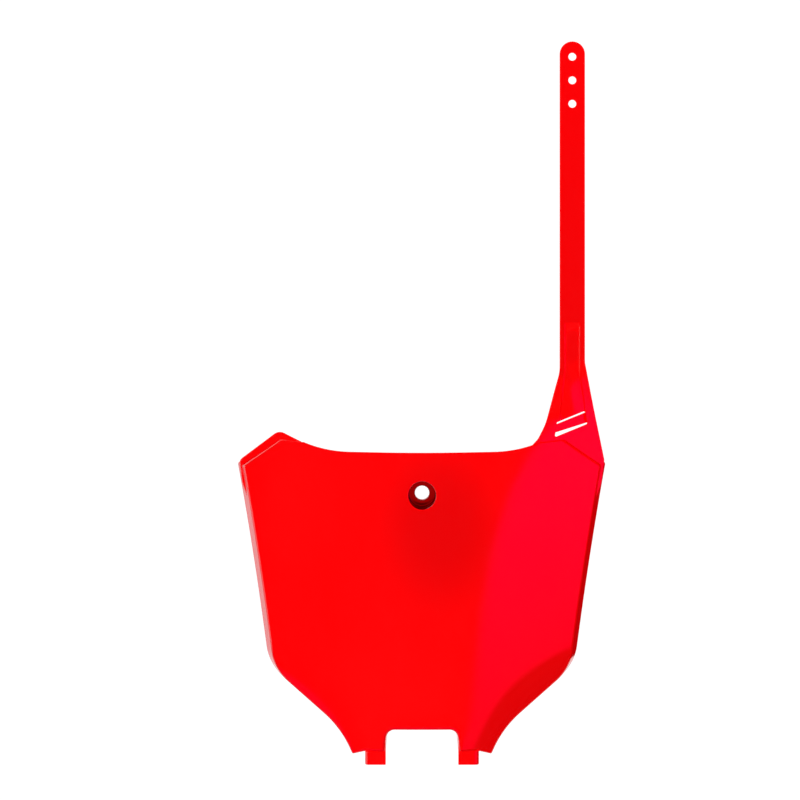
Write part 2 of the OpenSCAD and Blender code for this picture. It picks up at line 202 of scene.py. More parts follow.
class Outline:
    """A closed outline of straight edges and rounded corners, with drafted walls.

    A corner is (x, z, radius, draft of the edge that follows). at(y, inset) gives matching
    points for any depth and inset, so that loops can be joined point to point.
    """

    def __init__(self, corners, step, depth_at=None, min_radius=0.1):
        self.min_radius = min_radius
        self.n = n = len(corners)
        self.pts = [np.array(c[:2], float) for c in corners]
        self.radius = [c[2] for c in corners]
        self.draft = [c[3] if len(c) > 3 else 0.0 for c in corners]
        if depth_at is not None:
            # each edge is given where it meets the face; here it is brought to the plane y = 0
            lines = []
            for i in range(n):
                a, b = self.pts[i], self.pts[(i + 1) % n]
                o = outward(a, b) * self.draft[i]
                lines.append((a - o * depth_at(*a), b - o * depth_at(*b)))
            self.pts = [meeting(lines[i - 1], lines[i]) for i in range(n)]
        # number of steps on each arc and each straight
        self.arc_n, self.line_n = [], []
        arcs = self._arcs(0.0, 0.0)
        for i, (_, _, sweep, r) in enumerate(arcs):
            turn = abs(sweep)
            self.arc_n.append(max(3, math.ceil(turn * r / step), math.ceil(turn / ARC_TURN)))
            run = self._arc_point(arcs[(i + 1) % n], 0.0) - self._arc_point(arcs[i], 1.0)
            self.line_n.append(max(1, round(float(np.linalg.norm(run)) / step)))

    @staticmethod
    def _arc_point(arc, t):
        mid, start, sweep, r = arc
        a = start + sweep * t
        return mid + r * np.array([math.cos(a), math.sin(a)])

    def _arcs(self, y, inset):
        n, moved, radii = self.n, [], []
        for i in range(n):
            a, b, c = self.pts[i - 1], self.pts[i], self.pts[(i + 1) % n]
            n0, n1 = outward(a, b), outward(b, c)
            d0, d1 = self.draft[i - 1] * y - inset, self.draft[i] * y - inset
            k = float(n0 @ n1)
            moved.append(b + (d0 * (n0 - k * n1) + d1 * (n1 - k * n0)) / (1 - k * k))
            bulge = 1.0 if n0[0] * n1[1] - n0[1] * n1[0] > 0 else -1.0
            radii.append(max(self.min_radius, self.radius[i] - bulge * inset))
        return [round_corner(moved[i - 1], moved[i], moved[(i + 1) % n], radii[i]) for i in range(n)]

    def at(self, y=0.0, inset=0.0):
        arcs = self._arcs(y, inset)
        pts = []
        for i, (arc_n, line_n) in enumerate(zip(self.arc_n, self.line_n)):
            pts += [self._arc_point(arcs[i], j / arc_n) for j in range(arc_n + 1)]
            start, end = pts[-1], self._arc_point(arcs[(i + 1) % self.n], 0.0)
            pts += [start + (end - start) * j / line_n for j in range(1, line_n)]
        return np.array(pts)

    def field(self, ys, insets):
        """Points at a depth and inset given for each of them, taken between sampled outlines."""
        least, most = insets.min(), insets.max()
        levels = np.unique(np.concatenate([[least, most], np.linspace(least, most, INSET_LEVELS)]))
        base = [(self.at(0.0, e), self.at(1.0, e)) for e in levels]
        p0 = np.array([b[0] for b in base])
        dp = np.array([b[1] - b[0] for b in base])
        if len(levels) == 1:
            return p0[0] + dp[0] * ys[:, None]
        f = np.interp(insets, levels, np.arange(len(levels)))
        i0 = np.minimum(f.astype(int), len(levels) - 2)
        t = (f - i0)[:, None]
        k = np.arange(len(ys))
        a = p0[i0, k] * (1 - t) + p0[i0 + 1, k] * t
        d = dp[i0, k] * (1 - t) + dp[i0 + 1, k] * t
        return a + d * ys[:, None]


def inside(points, loop):
    """Whether each point lies inside a closed loop."""
    x, z = points[:, 0][:, None], points[:, 1][:, None]
    x0, z0 = loop.T[:, None]
    x1, z1 = np.roll(loop, -1, axis=0).T[:, None]
    out = np.zeros(len(points), bool)
    for s in range(0, len(points), BLOCK):
        e = slice(s, s + BLOCK)
        c = ((z0 > z[e]) != (z1 > z[e])) & (x[e] < (x1 - x0) * (z[e] - z0) / (z1 - z0 + TINY) + x0)
        out[e] = (c.sum(axis=1) % 2) == 1
    return out


def within(points, outer, holes):
    """Whether each point lies inside the outer loop and outside its holes."""
    keep = inside(points, outer)
    for hole in holes:
        keep &= ~inside(points, hole)
    return keep


def distance(points, loop, closed=True):
    """Distance from each point to a loop, or to an open line of points."""
    a = loop if closed else loop[:-1]
    b = np.roll(loop, -1, axis=0) if closed else loop[1:]
    ab = b - a
    l2 = (ab ** 2).sum(axis=1) + TINY
    out = np.empty(len(points))
    for s in range(0, len(points), BLOCK):
        p = points[s:s + BLOCK][:, None, :]
        t = np.clip(((p - a[None]) * ab[None]).sum(axis=2) / l2[None], 0, 1)
        q = a[None] + ab[None] * t[..., None]
        out[s:s + BLOCK] = np.sqrt(((p - q) ** 2).sum(axis=2)).min(axis=1)
    return out


def triangulate(outer, holes, lines, spacing):
    """Triangles inside an outer loop, outside its holes, with open lines kept as edges.

    The first points are the loops' own, in order, so that strips can be joined to them.
    """
    loops = [(loop, True) for loop in (outer, *holes)] + [(line, False) for line in lines]
    pts, edges = [], []
    for loop, closed in loops:
        base, n = len(pts), len(loop)
        pts += loop.tolist()
        edges += [(base + i, base + (i + 1) % n) for i in range(n if closed else n - 1)]
    (x0, z0), (x1, z1) = outer.min(axis=0), outer.max(axis=0)
    grid = []
    for j, z in enumerate(np.arange(z0, z1, spacing * ROW_PITCH)):
        xs = np.arange(x0 + (j % 2) * spacing / 2, x1, spacing)
        grid.append(np.stack([xs, np.full(len(xs), z)], axis=1))
    grid = np.concatenate(grid)
    grid = grid[within(grid, outer, holes)]
    far = np.min([distance(grid, loop, closed) for loop, closed in loops], axis=0)
    grid = grid[far > spacing * GRID_CLEAR]
    coords = [Vector(p) for p in pts + grid.tolist()]
    verts, _, faces, sources, _, _ = delaunay_2d_cdt(coords, edges, [], 0, 1e-6)
    if len(verts) != len(coords):
        raise RuntimeError("the outline's loops cross each other")
    # back to the order that went in
    order = np.array([source[0] for source in sources])
    tri = order[np.array([f for f in faces if len(f) == 3])]
    xy = np.array([tuple(c) for c in coords])
    tri = tri[within(xy[tri].mean(axis=1), outer, holes)]
    a, b, c = (xy[tri[:, k]] for k in range(3))
    area = (b[:, 0] - a[:, 0]) * (c[:, 1] - a[:, 1]) - (b[:, 1] - a[:, 1]) * (c[:, 0] - a[:, 0])
    tri[area < 0] = tri[area < 0][:, ::-1]
    return xy, tri[np.abs(area) > 1e-9]


def open_runs(loop, keep):
    """The stretches of a closed loop where keep holds, as open lines."""
    if keep.all():
        return [np.concatenate([loop, loop[:1] + 1e-4])]
    start = int(np.argmin(keep))
    loop, keep = np.roll(loop, -start, axis=0), np.roll(keep, -start)
    out, run = [], []
    for p, k in zip(loop, keep):
        if k:
            run.append(p)
        elif run:
            out.append(np.array(run))
            run = []
    if run:
        out.append(np.array(run))
    return [r for r in out if len(r) > 1]


def slope_normals(surface, x, z, back=False):
    """Normals of the front or the back of a height surface y = surface(x, z)."""
    dx = (surface(x + PROBE, z) - surface(x - PROBE, z)) / (2 * PROBE)
    dz = (surface(x, z + PROBE) - surface(x, z - PROBE)) / (2 * PROBE)
    n = unit(np.stack([dx, -np.ones_like(dx), dz], axis=1))
    return -n if back else n


class Body:
    """Collects the points, faces and normals of one piece, in millimetres."""

    def __init__(self):
        self.co, self.no, self.faces = [], [], []

    def add(self, points, normals=None):
        """Adds points and gives their numbers; a normal of no length is left to Blender."""
        base = len(self.co)
        if normals is None:
            normals = np.zeros_like(points)
        size = np.linalg.norm(normals, axis=1, keepdims=True)
        self.co += points.tolist()
        self.no += (normals / np.where(size > 0, size, 1)).tolist()
        return np.arange(base, base + len(points))

    def strips(self, loops, flip=False):
        """Joins closed loops one after the other."""
        for a, b in zip(loops, loops[1:]):
            a, b = (b, a) if flip else (a, b)
            self.faces += np.stack([a, np.roll(a, -1), np.roll(b, -1), b], axis=1).tolist()

    def cap(self, loop):
        """Closes a loop with a fan round its middle."""
        centre = self.add(np.mean([self.co[i] for i in loop], axis=0)[None])
        self.faces += [(a, b, int(centre[0])) for a, b in zip(loop.tolist(), np.roll(loop, -1).tolist())]

    def fill(self, rims, surface, spacing, lines=(), back=False):
        """Fills the space inside the first rim and outside the others, each (points, their numbers)."""
        loops = [points[:, [0, 2]] for points, _ in rims]
        xy, tri = triangulate(loops[0], loops[1:], lines, spacing)
        xy = xy[sum(len(loop) for loop in loops):]
        x, z = xy.T
        inner = self.add(lift(xy, surface(x, z)), slope_normals(surface, x, z, back))
        tri = np.concatenate([*(ids for _, ids in rims), inner])[tri]
        self.faces += (tri[:, ::-1] if back else tri).tolist()

    def build(self, name, material, closed=False, rides="root"):
        """Makes the piece; a closed one has its faces turned outward and its corners kept sharp."""
        mesh = bpy.data.meshes.new(name)
        mesh.from_pydata([(x * MM, y * MM, z * MM) for x, y, z in self.co], [], self.faces)
        mesh.validate(verbose=False)
        if closed:
            bm = bmesh.new()
            bm.from_mesh(mesh)
            bmesh.ops.recalc_face_normals(bm, faces=bm.faces)
            for edge in bm.edges:
                if len(edge.link_faces) == 2 and edge.calc_face_angle(0.0) > SHARP:
                    edge.smooth = False
            bm.to_mesh(mesh)
            bm.free()
        mesh.polygons.foreach_set("use_smooth", [True] * len(mesh.polygons))
        mesh.update()
        if not closed:
            mesh.normals_split_custom_set_from_vertices(self.no)
        mesh.materials.append(material)
        piece = bpy.data.objects.new(name, mesh)
        bpy.context.scene.collection.objects.link(piece)
        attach(piece, rides)
        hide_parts(NODE)
        return piece


# The board's form

CROWN_Z = -55.0
SEAT_DEPTH, SEAT_TILT, SEAT_R = 9.0, math.radians(9), 8.5
SEAT_FLOOR, SEAT_WALL = 3.0, 2.4
BOLT_R = 4.5
FLANGE_STEP, FLANGE_T = 3.0, 2.4

# the board's upper outline: its middle, the ends of the low stretch, the peaks and the corners
MIDDLE_H = 24.9
SADDLE = np.array([62.2, 26.0])
PEAK = np.array([90.3, 39.0])
CORNER = np.array([116.0, 20.0])
TOP_BEND_R, MIDDLE_BEND_R = 80.0, 1500

# the raised field's corners, and the draft of its walls; its top edge turns up less than the board's
FIELD_PEAK = np.array([88.4, 33.2])
FIELD_CORNER = np.array([113.0, 16.5])
FIELD_TURN, FIELD_RUN, FIELD_R = math.radians(3.5), 1.2, 2.5
SIDE_DRAFT, CORNER_DRAFT, FLANK_DRAFT, NOTCH_DRAFT = 0.3, 0.3, 0.1, 0.09
EAR_Z = -163.8

# the arc inside which the lower flanks roll back
ROLL_MIDDLE = np.array([133.0, -206.0])
ROLL_START = 118.2

# the heights between which the root flattens to the strap and thins to it, and where it meets the strap's level
ROOT_BOWED, ROOT_NECK, ROOT_THIN, STRAP_THIN, ROOT_LEVEL = 46.0, 84.0, 88.0, 111.0, 58.0
ROOT_T = 3.0


def field_half():
    """Corners of the raised field's right half, from the middle of its top edge."""
    first = unit(SADDLE - [0, MIDDLE_H])
    turn = math.acos(float(first @ unit(PEAK - SADDLE)))
    field_turn = turn - FIELD_TURN
    reach = TOP_BEND_R * math.tan(field_turn / 2)
    saddle = SADDLE - first * TOP_BEND_R * math.tan(turn / 2) + first * reach
    c, s = math.cos(field_turn), math.sin(field_turn)
    leave = saddle + (reach + FIELD_RUN) * np.array([first[0] * c - first[1] * s, first[0] * s + first[1] * c])
    return [
        (0, MIDDLE_H, MIDDLE_BEND_R, 0),
        (*saddle, TOP_BEND_R, 0),
        (*leave, 1, 0),
        (*FIELD_PEAK, FIELD_R, CORNER_DRAFT),
        (*FIELD_CORNER, FIELD_R, SIDE_DRAFT),
        (93.0, -111.2, 32, FLANK_DRAFT),  # shoulder
        (50.6, -147.4, 66, FLANK_DRAFT),  # hip
        (43.2, EAR_Z, 1, 0),  # ear and its step
        (36.3, -162.0, 1, 0),
        (23.6, -161.8, 1, NOTCH_DRAFT),  # the notch's mouth and its corner
        (22.1, -148.0, 5.5, 0),
    ]


def mirrored(half):
    left = [(-x, z, r, d) for x, z, r, d in half]
    right = [(*half[i][:3], half[i - 1][3]) for i in range(len(half) - 1, 0, -1)]
    return left + right


class Face:
    """The height surfaces of the board, from its settings."""

    def __init__(self, board, strap):
        self.bow_r, self.crown_r = board.bow / MM, board.crown / MM
        self.wall, self.rim = board.wall / MM, board.rim / MM
        self.edge, self.foot = board.edge / MM, board.foot_edge / MM
        self.roll_r, self.grid = board.roll / MM, board.grid / MM
        fall = self.crown_r - math.sqrt(self.crown_r ** 2 - CROWN_Z ** 2)
        self.axis = self.bow_r - fall - SEAT_DEPTH
        self.strap_t = strap.thickness / MM
        self.strap_y = float(self.bow(strap.middle / MM, ROOT_LEVEL)) + FLANGE_STEP
        self.outline = Outline(mirrored(field_half()), 2.0, self.bow, min_radius=0.12)

    def bow(self, x, z, depth=0.0):
        rho = self.bow_r - self.crown_r + np.sqrt((self.crown_r - depth) ** 2 - (z - CROWN_Z) ** 2)
        return self.axis - np.sqrt(np.maximum(rho ** 2 - np.square(x), 1.0))

    def roll(self, x, z):
        """How far the rolled band along the lower flanks falls behind the bowed face."""
        into = ROLL_START - np.hypot(np.abs(x) - ROLL_MIDDLE[0], z - ROLL_MIDDLE[1])
        return np.maximum(into, 0.0) ** 2 / (2 * self.roll_r)

    def front(self, x, z, depth=0.0):
        return self.bow(x, z, depth) + self.roll(x, z)

    def back(self, x, z):
        return self.front(x, z, self.wall)

    def root(self, x, z):
        """Front of the strap and of the root that carries it."""
        t = eased((z - ROOT_BOWED) / (ROOT_NECK - ROOT_BOWED))
        return (self.bow(x, z) + FLANGE_STEP) * (1 - t) + self.strap_y * t

    def root_thick(self, z):
        t = eased((z - ROOT_THIN) / (STRAP_THIN - ROOT_THIN))
        return ROOT_T * (1 - t) + self.strap_t * t


# The shell

EDGE_STEPS, RIM_STEPS, FILLET_STEPS = 6, 3, 4
RIM_R, SKIN_FILLET = 0.45, 0.9
SEAT_POINTS, SEAT_LIP, SEAT_FILLET, HOLE_CHAMFER = 96, 0.8, 0.7, 0.25
RING_EDGE, HARD = 0.5, 0.02  # rounding of the seat's wall behind, and the width that keeps an edge hard
# where the edge is rounder: below a height along the ears, and all along the notch
FOOT_TOP, FOOT_FADE, FOOT_HALF, NOTCH_TOP, NOTCH_HALF = -150.0, 8.0, 41.5, -140, 22.5


def edge_radii(face, probe):
    """Radius of the face's edge at each point of its outline, larger along the foot."""
    x, z = np.abs(probe[:, 0]), probe[:, 1]
    low = eased((FOOT_TOP - z) / FOOT_FADE) * (x < FOOT_HALF)
    low = np.where((x < NOTCH_HALF) & (z < NOTCH_TOP), 1.0, low)
    for _ in range(4):
        low = (np.roll(low, 1) + low * 2 + np.roll(low, -1)) / 4
    return face.edge + (face.foot - face.edge) * low


def shell_loops(face):
    """Loops with their normals, from the face's edge round the rim to the back of the skin."""
    outline, loops = face.outline, []
    probe = outline.at()
    none = np.zeros(len(probe))
    guess = face.bow(probe[:, 0], probe[:, 1])

    def settle(inset, surface, y):
        """The loop at an inset whose points lie on a surface."""
        for _ in range(6):
            p = outline.field(y, inset)
            y = surface(p[:, 0], p[:, 1])
        return lift(p, y)

    def level(y, inset, normals=None):
        loops.append((lift(outline.field(y, none + inset), y), normals))

    # how the drafted walls face
    side, reach = sideways(probe), 10.0
    lean = outline.field(guess + reach, none) - outline.field(guess, none)
    lean = (lean * side[:, [0, 2]]).sum(axis=1) / reach
    wall = unit(side - lean[:, None] * [0, 1, 0])

    # the face's edge
    radii = edge_radii(face, probe)
    for s, c in quarter(EDGE_STEPS):
        loop = settle(radii * (1 - s), lambda x, z: face.front(x, z) + radii * (1 - c), guess)
        loops.append((loop, slope_normals(face.front, loop[:, 0], loop[:, 2]) * c + wall * s))
    # down the wall and round the rim
    top = loops[-1][0][:, 1]
    rim = settle(none, lambda x, z: face.bow(x, z, face.rim), guess + face.rim)[:, 1]
    for f in (0.15, 0.4, 0.7, 1.0):
        level(top + (rim - RIM_R - top) * f, 0.0, wall)
    for s, c in quarter(RIM_STEPS, 1):
        level(rim - RIM_R * (1 - s), RIM_R * (1 - c))
    for s, c in quarter(RIM_STEPS):
        level(rim - RIM_R * (1 - c), face.wall - RIM_R * (1 - s))
    # inside the wall up to the back of the skin, with a fillet
    low = loops[-1][0][:, 1]
    skin = settle(none + face.wall, face.back, guess + face.wall)[:, 1]
    for f in (0.35, 0.7, 1.0):
        level(low + (skin + SKIN_FILLET - low) * f, face.wall)
    for s, c in quarter(FILLET_STEPS, 1):
        inset, drop = none + face.wall + SKIN_FILLET * (1 - c), SKIN_FILLET * (1 - s)
        loops.append((settle(inset, lambda x, z: face.back(x, z) + drop, guess + face.wall), None))
    return loops


def seat_frame():
    """The bolt's axis, out of the face, and the directions out from it all round."""
    c, s = math.cos(SEAT_TILT), math.sin(SEAT_TILT)
    a = np.arange(SEAT_POINTS) * 2 * math.pi / SEAT_POINTS
    return np.array([0, -c, -s]), np.cos(a)[:, None] * [1, 0, 0] + np.sin(a)[:, None] * [0, -s, c]


def ring_on(surface, radius, push=0.0):
    """A ring round the bolt's axis that lies on a height surface, pushed back along the axis."""
    axis, radial = seat_frame()
    height = np.full(SEAT_POINTS, SEAT_DEPTH)
    for _ in range(8):
        p = radius * radial + axis * height[:, None]
        height = height + (p[:, 1] - surface(p[:, 0], p[:, 2])) / math.cos(SEAT_TILT)
    return radius * radial + axis * (height - push)[:, None]


def seat_rings(face):
    """Rings with their normals, from the seat's lip through the bolt hole to the back of the skin."""
    axis, radial = seat_frame()
    rings = []
    for s, c in quarter(EDGE_STEPS):
        p = ring_on(face.front, SEAT_R + SEAT_LIP * (1 - s), SEAT_LIP * (1 - c))
        rings.append((p, slope_normals(face.front, p[:, 0], p[:, 2]) * c - radial * s))
    mouth = rings[-1][0] @ axis
    for f in (0.3, 0.65, 1.0):
        height = mouth + (SEAT_FILLET - mouth) * f
        rings.append((SEAT_R * radial + axis * height[:, None], -radial))
    for s, c in quarter(FILLET_STEPS, 1):
        radius, height = SEAT_R - SEAT_FILLET * (1 - c), SEAT_FILLET * (1 - s)
        rings.append((radius * radial + axis * height, axis * s - radial * c))
    mouth_r, outer, floor, soft = BOLT_R + HOLE_CHAMFER, SEAT_R + SEAT_WALL, -SEAT_FLOOR, 0.3 * RING_EDGE
    # radius and height, and how far the normal points along the axis and out from it
    for radius, height, along, out in (
            (mouth_r + HARD, 0, 1, 0), (mouth_r, 0, 1, -1), (BOLT_R, -HOLE_CHAMFER, 0, -1),
            (BOLT_R, floor + HOLE_CHAMFER, 0, -1), (mouth_r, floor, -1, -1), (mouth_r + HARD, floor, -1, 0),
            (outer - RING_EDGE, floor, -1, 0), (outer - soft, floor + soft, -1, 1),
            (outer, floor + RING_EDGE, 0, 1)):
        rings.append((radius * radial + axis * height, axis * along + radial * out))
    rings.append((ring_on(face.back, outer, SEAT_LIP), radial))
    rings.append((ring_on(face.back, outer + SEAT_LIP), None))
    return rings


def build_shell(face, material):
    """The bowed face with its rounded edges, drafted walls, rim and hollow back, and the bolt's seat."""
    body, loops, rings = Body(), shell_loops(face), seat_rings(face)
    ids = [body.add(*loop) for loop in loops]
    seat = [body.add(*ring) for ring in rings]
    body.strips(ids, flip=True)
    body.strips(seat)
    for k, surface, spacing in ((0, face.front, face.grid), (-1, face.back, face.grid * 1.5)):
        body.fill([(loops[k][0], ids[k]), (rings[k][0], seat[k])], surface, spacing, back=k < 0)
    return body.build("board_shell", material)


# The sheets behind the face: the corner flange, the strap with its root, and the buckle's bar

SHEET_STEPS = 5
# how far the lower flange's ends jog in, and how far they run on behind the field
FLANGE_JOG = np.array([2.0, 14.0])
FLANGE_TAIL = np.array([5.6, 24.0])
FLANGE_EDGE = 0.6
# corners just inside the raised field's wall, from its side to its top; a sheet ends there unseen
HIDDEN_EDGE = (
    (FIELD_CORNER[0] - 3.7, 0.5, 0.4), (FIELD_CORNER[0] - 1.8, FIELD_CORNER[1] - 2.1, 2),
    (FIELD_PEAK[0] - 0.8, FIELD_PEAK[1] - 2.2, 2), (75.0, 28.0, 0.4))

BUCKLE_H, BUCKLE_SLOPE, BAR_FLARE = 43.2, math.radians(21.5), math.radians(4.5)
WINDOW_W, WINDOW_H, WINDOW_LEAN, WINDOW_R, WINDOW_SHIFT = 19.6, 8.8, 0.75, 0.7, 1.0
UPPER_GAP, LOWER_GAP = 1.0, 2.7
BAR_BACK, BAR_T, BAR_EDGE, BAR_LAP = 1.4, 2.6, 0.45, 2.0
GROOVE_RAIL, GROOVE_TOP, GROOVE_END = 3.3, 107.0, 5.0
GROOVE_LINES = (-0.3, -0.02, 0.3, 0.62, 1.0)  # insets of the mesh's lines along the groove's wall
WALL_OUT, WALL_RUN = 0.25, 0.85  # where the groove's wall starts outside its outline, and its width
STRAP_HOLES, HOLE_STEP = 3, 0.5


def build_sheet(name, material, outline, front, thick, edge, spacing, holes=(), lines=()):
    """A closed sheet between a height surface and its own thickness behind, with rounded edges."""
    body, fronts, backs = Body(), [], []
    for shape, sign in [(outline, 1.0)] + [(hole, -1.0) for hole in holes]:
        out = sign * sideways(shape.at())
        loops = []
        turn = quarter(SHEET_STEPS)
        for (s, c), back in [(t, False) for t in turn] + [(t, True) for t in reversed(turn)]:
            p = shape.at(0.0, sign * edge * (1 - s))
            x, z = p.T
            y = front(x, z) + (thick(z) - edge * (1 - c) if back else edge * (1 - c))
            loops.append((lift(p, y), slope_normals(front, x, z, back) * c + out * s))
        ids = [body.add(*loop) for loop in loops]
        body.strips(ids, flip=sign > 0)
        fronts.append((loops[0][0], ids[0]))
        backs.append((loops[-1][0], ids[-1]))
    plain = getattr(front, "plain", front)
    body.fill(fronts, front, spacing, lines)
    body.fill(backs, lambda x, z: plain(x, z) + thick(z), spacing, back=True)
    return body.build(name, material)


def build_flange(face, material):
    """The lower flange at the corner away from the strap."""
    corners = [
        (70.8, 29.4, 0.3), (*PEAK, 6), (*CORNER, 4), (*(CORNER - FLANGE_JOG), 1),
        (*(CORNER - FLANGE_TAIL), 0.4), *HIDDEN_EDGE]
    outline = Outline([(-x, z, r) for x, z, r in corners], 1.5)
    return build_sheet(
        "corner_flange", material, outline, lambda x, z: face.bow(x, z, FLANGE_STEP), lambda z: FLANGE_T,
        FLANGE_EDGE, 2.5)


class RootFront:
    """The strap's front with the groove that leads to the buckle."""

    def __init__(self, face, loop, depth):
        self.plain, self.loop, self.depth = face.root, loop, depth

    def __call__(self, x, z):
        p = np.stack([x, z], axis=1)
        q = distance(p, self.loop)
        q = np.where(inside(p, self.loop), q, -q)
        # rounded upper edge, steep wall and filleted floor, and a floor that runs out at the top
        wall = eased((q + WALL_OUT) / WALL_RUN)
        floor = self.depth * np.clip((GROOVE_TOP - z) / GROOVE_END, 0, 1)
        return self.plain(x, z) + wall * floor


def buckle_point(x, h, middle):
    """A place across the buckle and its height, h above the slanting middle line."""
    return x, BUCKLE_H + h + (x - middle) * math.tan(BUCKLE_SLOPE)


def window_frame(strap):
    """The middle of the buckle's window, and its left and right ends."""
    middle = strap.middle / MM - WINDOW_SHIFT
    return middle, middle - WINDOW_W / 2, middle + WINDOW_W / 2


def build_strap(face, strap, material):
    """The strap, its holes, and the root that widens to the board with the buckle's window."""
    mid, half, top = strap.middle / MM, strap.width / MM / 2, strap.height / MM
    left, right, edge = mid - half, mid + half, strap.edge / MM
    outline = Outline([
        *reversed(HIDDEN_EDGE), (*(CORNER - FLANGE_TAIL), 0.4), (*(CORNER - FLANGE_JOG), 3), (*CORNER, 4),
        (right, ROOT_NECK - 2, 12), (right, top, half - 0.02), (left, top, half - 0.02),
        (left, ROOT_NECK - 8, 24), (left - 9.5, BUCKLE_H - 0.4, 40), (73.0, 33.6, 9), (67.8, 28.2, 0.3),
    ], 1.4)
    middle, inner, outer = window_frame(strap)
    low, high, lean = -WINDOW_H / 2, WINDOW_H / 2, WINDOW_LEAN
    window = Outline([
        (*buckle_point(x, h, middle), WINDOW_R)
        for x, h in ((inner - lean, low), (outer + lean, low), (outer - lean, high), (inner + lean, high))], 0.9)
    r = strap.hole / MM / 2
    heights = [top - strap.first / MM - i * strap.pitch / MM for i in range(STRAP_HOLES)]
    holes = [window] + [
        Outline([(mid + a * r, z + b * r, r - 0.001) for a, b in ((-1, -1), (1, -1), (1, 1), (-1, 1))], HOLE_STEP)
        for z in heights]
    a, b = left + GROOVE_RAIL, right - GROOVE_RAIL
    groove = Outline([
        (b + 3.8, BUCKLE_H + 5.2, 0.4), (b + 3, BUCKLE_H + 14, 8), (b, BUCKLE_H + 34, 20), (b, GROOVE_TOP, 0.5),
        (a, GROOVE_TOP, 0.5), (a, BUCKLE_H + 34, 20), (a - 4.2, BUCKLE_H - 1.2, 0.4)], 1.2)
    # lines along the groove's wall, cut where they come to the window
    clear, lines = window.at(0.0, -edge), []
    for inset in GROOVE_LINES:
        loop = groove.at(0.0, inset)
        lines += open_runs(loop, ~inside(loop, clear) & (distance(loop, clear) > 0.3))
    front = RootFront(face, groove.at(), strap.groove / MM)
    return build_sheet("strap", material, outline, front, face.root_thick, edge, 2.0, holes, lines)


def build_bar(face, strap, material):
    """The bar across the buckle's window, set back behind the root's face."""
    middle, inner, outer = window_frame(strap)
    low = buckle_point(inner, LOWER_GAP - WINDOW_H / 2, middle)[1]
    fall = math.tan(BUCKLE_SLOPE - BAR_FLARE)
    top = WINDOW_H / 2 - UPPER_GAP / math.cos(BUCKLE_SLOPE)
    x0, x1 = inner - BAR_LAP, outer + BAR_LAP
    corners = [(x, low + (x - inner) * fall) for x in (x0, x1)] + [buckle_point(x, top, middle) for x in (x1, x0)]
    outline = Outline([(*corner, 0.4) for corner in corners], 1.0)
    return build_sheet(
        "buckle_bar", material, outline, lambda x, z: face.bow(x, z, FLANGE_STEP + BAR_BACK), lambda z: BAR_T,
        BAR_EDGE, 1.6)


# The foot and the back

TONGUE_GAP, TONGUE_W, TONGUE_T, TONGUE_TIP, TONGUE_BACK = 45.4, 13.0, 4.5, 170.4, 2.2
TONGUE_ROUND, TONGUE_TAPER = 0.9, 0.33
TONGUE_LEVELS = (-168.0, -165.0, -162.5, -160.4)
BLOCK_TOP, BLOCK_LOW = -151.0, -162.0
GUSSET_IN, GUSSET_OUT, GUSSET_HALF = 9.5, 20.0, 0.8
BURIED = 1.4  # how deep inside the skin a gusset or block starts


def tongue_front(face):
    """Middle and front of a tongue, across the face and in depth."""
    mid = (TONGUE_GAP + TONGUE_W) / 2
    return mid, float(face.bow(mid, EAR_Z)) + TONGUE_BACK


def build_tongue(face, side, material):
    """A short tongue below an ear."""
    body = Body()
    mid, y0 = tongue_front(face)
    x0, x1, y1 = mid - TONGUE_W / 2, mid + TONGUE_W / 2, y0 + TONGUE_T
    outline = Outline([(x0, y0, 0.35), (x1, y0, 3.0), (x1, y1, 0.5), (x0, y1, 0.5)], 0.7)
    loops = [(outline.at(0.0, TONGUE_ROUND * (1 - s) * TONGUE_TAPER), TONGUE_ROUND * (1 - c) - TONGUE_TIP)
             for s, c in quarter(5)]
    loops += [(outline.at(), z) for z in TONGUE_LEVELS]
    ids = [body.add(np.stack([side * p[:, 0], p[:, 1], np.full(len(p), z)], axis=1)) for p, z in loops]
    body.strips(ids)
    body.cap(ids[0])
    body.cap(ids[-1])
    return body.build("tongue_" + ("right" if side > 0 else "left"), material, closed=True)


def add_plate(body, corners, across, half):
    """A flat plate with softened edges, from its outline in space."""
    p, across = np.array(corners, float), np.array(across, float) * half
    mid = p.mean(axis=0)
    shrunk = mid + (p - mid) * 0.965
    ids = [body.add(q) for q in (shrunk - across, p - across * 0.75, p + across * 0.75, shrunk + across)]
    body.strips(ids)
    body.cap(ids[0])
    body.cap(ids[-1])


def build_backing(face, material):
    """Gussets round the seat's wall, and the blocks that carry the tongues behind the skin."""
    body = Body()
    for angle in (45, 135, 225, 315):
        c, s = math.cos(math.radians(angle)), math.sin(math.radians(angle))
        near, far = (float(face.front(c * q, s * q, BURIED)) for q in (GUSSET_IN, GUSSET_OUT))
        corners = ((GUSSET_IN, 1.0), (GUSSET_IN, near), (GUSSET_OUT, far), (GUSSET_OUT - 0.4, far + 1.4))
        add_plate(body, [(c * q, y, s * q) for q, y in corners], (-s, 0, c), GUSSET_HALF)
    mid, y0 = tongue_front(face)
    top, low = (float(face.front(mid, z, BURIED)) for z in (BLOCK_TOP, BLOCK_LOW))
    behind = y0 + TONGUE_T
    corners = ((behind, BLOCK_LOW), (low, BLOCK_LOW), (top, BLOCK_TOP), (behind - 0.6, BLOCK_TOP))
    for side in (-1, 1):
        add_plate(body, [(side * mid, y, z) for y, z in corners], (1, 0, 0), TONGUE_W / 2 - 0.05)
    return body.build("backing", material, closed=True)


# Materials

